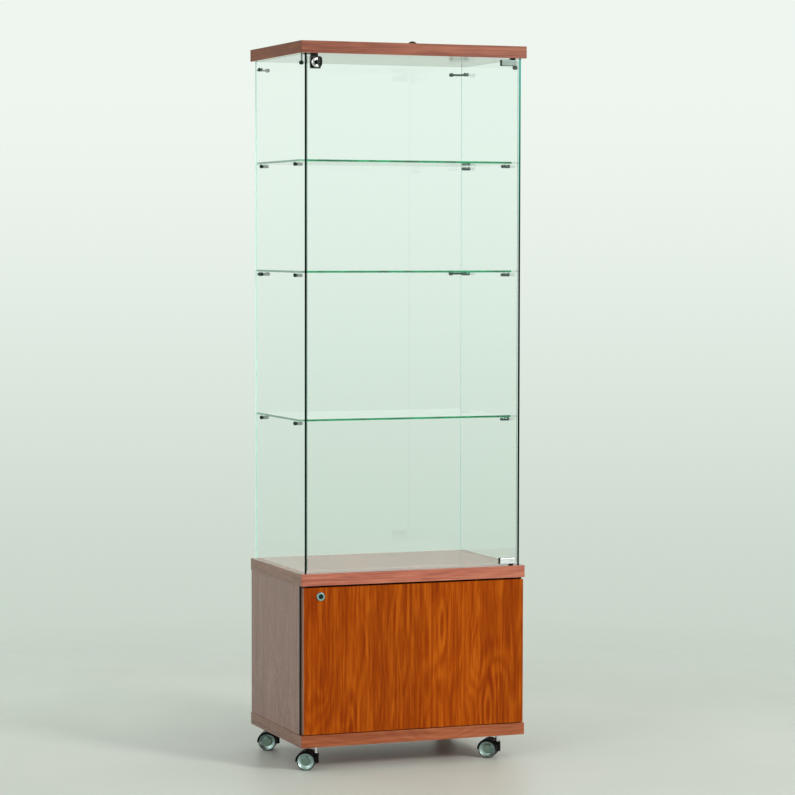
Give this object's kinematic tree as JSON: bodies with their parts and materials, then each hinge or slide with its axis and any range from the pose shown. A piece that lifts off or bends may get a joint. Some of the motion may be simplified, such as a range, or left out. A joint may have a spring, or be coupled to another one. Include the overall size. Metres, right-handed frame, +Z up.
{
  "type": "glass display case",
  "caption": "Tall glass display case with glass shelves and a lockable glass door, on a closed cherry laminate base cabinet with casters.",
  "frame": {"origin": "on the floor, under the centre of the slabs", "axes": "+Z up, the front with both doors faces -Y, +X to the right as seen from the front"},
  "size_m": [0.6, 0.429, 1.8125],
  "materials": {
    "cherry_slab": "satin cherry laminate, grain along the slab",
    "cherry_side": "satin cherry laminate, upright grain",
    "cherry_door": "satin cherry laminate, upright grain",
    "clear_glass": "clear, green edges",
    "clear_pad": "clear soft plastic",
    "chrome": "bright chrome",
    "zinc_steel": "zinc-plated",
    "black_steel": "black",
    "black_plastic": "satin black",
    "black_rubber": "matt black",
    "grey_cap": "silver-grey",
    "caster_tread": "black nylon"
  },
  "bodies": {
    "case": {"bottom_panel": "cherry_slab", "left_side_panel": "cherry_side", "right_side_panel": "cherry_side", "base_back_panel": "cherry_side", "base_top_panel": "cherry_slab", "top_panel": "cherry_slab", "top_plug": "black_plastic", "left_glass": "clear_glass", "right_glass": "clear_glass", "back_glass": "clear_glass", "lower_shelf": "clear_glass", "middle_shelf": "clear_glass", "upper_shelf": "clear_glass", "shelf_supports": "chrome", "shelf_pads": "clear_pad", "corner_connectors": "chrome", "roof_connectors": "chrome", "pivot_bushes": "black_plastic", "lock_strikes": "black_steel", "door_seals": "black_rubber", "hinge_arms": "zinc_steel", "caster_plates": "zinc_steel", "caster_screws": "zinc_steel"},
    "glass_door": {"glass_door_pane": "clear_glass", "hinge_clamps": "chrome", "clamp_gaskets": "black_rubber", "clamp_screws": "zinc_steel", "glass_lock_case": "chrome"},
    "glass_lock_core": {"glass_lock_plug": "chrome", "glass_lock_cam": "zinc_steel", "key": "black_plastic"},
    "base_door": {"base_door_panel": "cherry_door", "hinge_cups": "zinc_steel", "base_lock_barrel": "chrome"},
    "base_lock_core": {"base_lock_plug": "chrome", "base_lock_cam": "zinc_steel"},
    "front_left_caster": {"front_left_caster_hood": "black_plastic", "front_left_caster_axle": "zinc_steel"},
    "front_left_left_wheel": {"front_left_caster_left_wheel": "caster_tread", "front_left_caster_left_cap": "grey_cap"},
    "front_left_right_wheel": {"front_left_caster_right_wheel": "caster_tread", "front_left_caster_right_cap": "grey_cap"},
    "front_right_caster": {"front_right_caster_hood": "black_plastic", "front_right_caster_axle": "zinc_steel"},
    "front_right_left_wheel": {"front_right_caster_left_wheel": "caster_tread", "front_right_caster_left_cap": "grey_cap"},
    "front_right_right_wheel": {"front_right_caster_right_wheel": "caster_tread", "front_right_caster_right_cap": "grey_cap"},
    "rear_left_caster": {"rear_left_caster_hood": "black_plastic", "rear_left_caster_axle": "zinc_steel"},
    "rear_left_left_wheel": {"rear_left_caster_left_wheel": "caster_tread", "rear_left_caster_left_cap": "grey_cap"},
    "rear_left_right_wheel": {"rear_left_caster_right_wheel": "caster_tread", "rear_left_caster_right_cap": "grey_cap"},
    "rear_right_caster": {"rear_right_caster_hood": "black_plastic", "rear_right_caster_axle": "zinc_steel"},
    "rear_right_left_wheel": {"rear_right_caster_left_wheel": "caster_tread", "rear_right_caster_left_cap": "grey_cap"},
    "rear_right_right_wheel": {"rear_right_caster_right_wheel": "caster_tread", "rear_right_caster_right_cap": "grey_cap"}
  },
  "joints": [
    {"name": "glass_door_swing", "type": "hinge", "parent": "case", "child": "glass_door", "pos_m": [0.2665, -0.1875, 0.496], "axis": [0, 0, 1], "range_deg": [0, 120]},
    {"name": "glass_lock_turn", "type": "hinge", "parent": "glass_door", "child": "glass_lock_core", "pos_m": [-0.258, -0.1875, 1.754], "axis": [0, -1, 0], "range_deg": [0, 90]},
    {"name": "base_door_swing", "type": "hinge", "parent": "case", "child": "base_door", "pos_m": [0.2975, -0.184, 0.094], "axis": [0, 0, 1], "range_deg": [0, 110]},
    {"name": "base_lock_turn", "type": "hinge", "parent": "base_door", "child": "base_lock_core", "pos_m": [-0.2495, -0.2, 0.439], "axis": [0, -1, 0], "range_deg": [0, 90]},
    {"name": "front_left_swivel", "type": "hinge", "parent": "case", "child": "front_left_caster", "pos_m": [-0.246, -0.152, 0.064], "axis": [0, 0, 1], "continuous": true},
    {"name": "front_left_left_roll", "type": "hinge", "parent": "front_left_caster", "child": "front_left_left_wheel", "pos_m": [-0.26543, -0.14167, 0.023], "axis": [-0.4695, -0.8829, 0], "continuous": true},
    {"name": "front_left_right_roll", "type": "hinge", "parent": "front_left_caster", "child": "front_left_right_wheel", "pos_m": [-0.26543, -0.14167, 0.023], "axis": [-0.4695, -0.8829, 0], "continuous": true},
    {"name": "front_right_swivel", "type": "hinge", "parent": "case", "child": "front_right_caster", "pos_m": [0.246, -0.152, 0.064], "axis": [0, 0, 1], "continuous": true},
    {"name": "front_right_left_roll", "type": "hinge", "parent": "front_right_caster", "child": "front_right_left_wheel", "pos_m": [0.2282, -0.13907, 0.023], "axis": [-0.5878, -0.809, 0], "continuous": true},
    {"name": "front_right_right_roll", "type": "hinge", "parent": "front_right_caster", "child": "front_right_right_wheel", "pos_m": [0.2282, -0.13907, 0.023], "axis": [-0.5878, -0.809, 0], "continuous": true},
    {"name": "rear_left_swivel", "type": "hinge", "parent": "case", "child": "rear_left_caster", "pos_m": [-0.246, 0.152, 0.064], "axis": [0, 0, 1], "continuous": true},
    {"name": "rear_left_left_roll", "type": "hinge", "parent": "rear_left_caster", "child": "rear_left_left_wheel", "pos_m": [-0.26577, 0.16164, 0.023], "axis": [-0.4384, -0.8988, 0], "continuous": true},
    {"name": "rear_left_right_roll", "type": "hinge", "parent": "rear_left_caster", "child": "rear_left_right_wheel", "pos_m": [-0.26577, 0.16164, 0.023], "axis": [-0.4384, -0.8988, 0], "continuous": true},
    {"name": "rear_right_swivel", "type": "hinge", "parent": "case", "child": "rear_right_caster", "pos_m": [0.246, 0.152, 0.064], "axis": [0, 0, 1], "continuous": true},
    {"name": "rear_right_left_roll", "type": "hinge", "parent": "rear_right_caster", "child": "rear_right_left_wheel", "pos_m": [0.22734, 0.16366, 0.023], "axis": [-0.5299, -0.848, 0], "continuous": true},
    {"name": "rear_right_right_roll", "type": "hinge", "parent": "rear_right_caster", "child": "rear_right_right_wheel", "pos_m": [0.22734, 0.16366, 0.023], "axis": [-0.5299, -0.848, 0], "continuous": true}
  ]
}
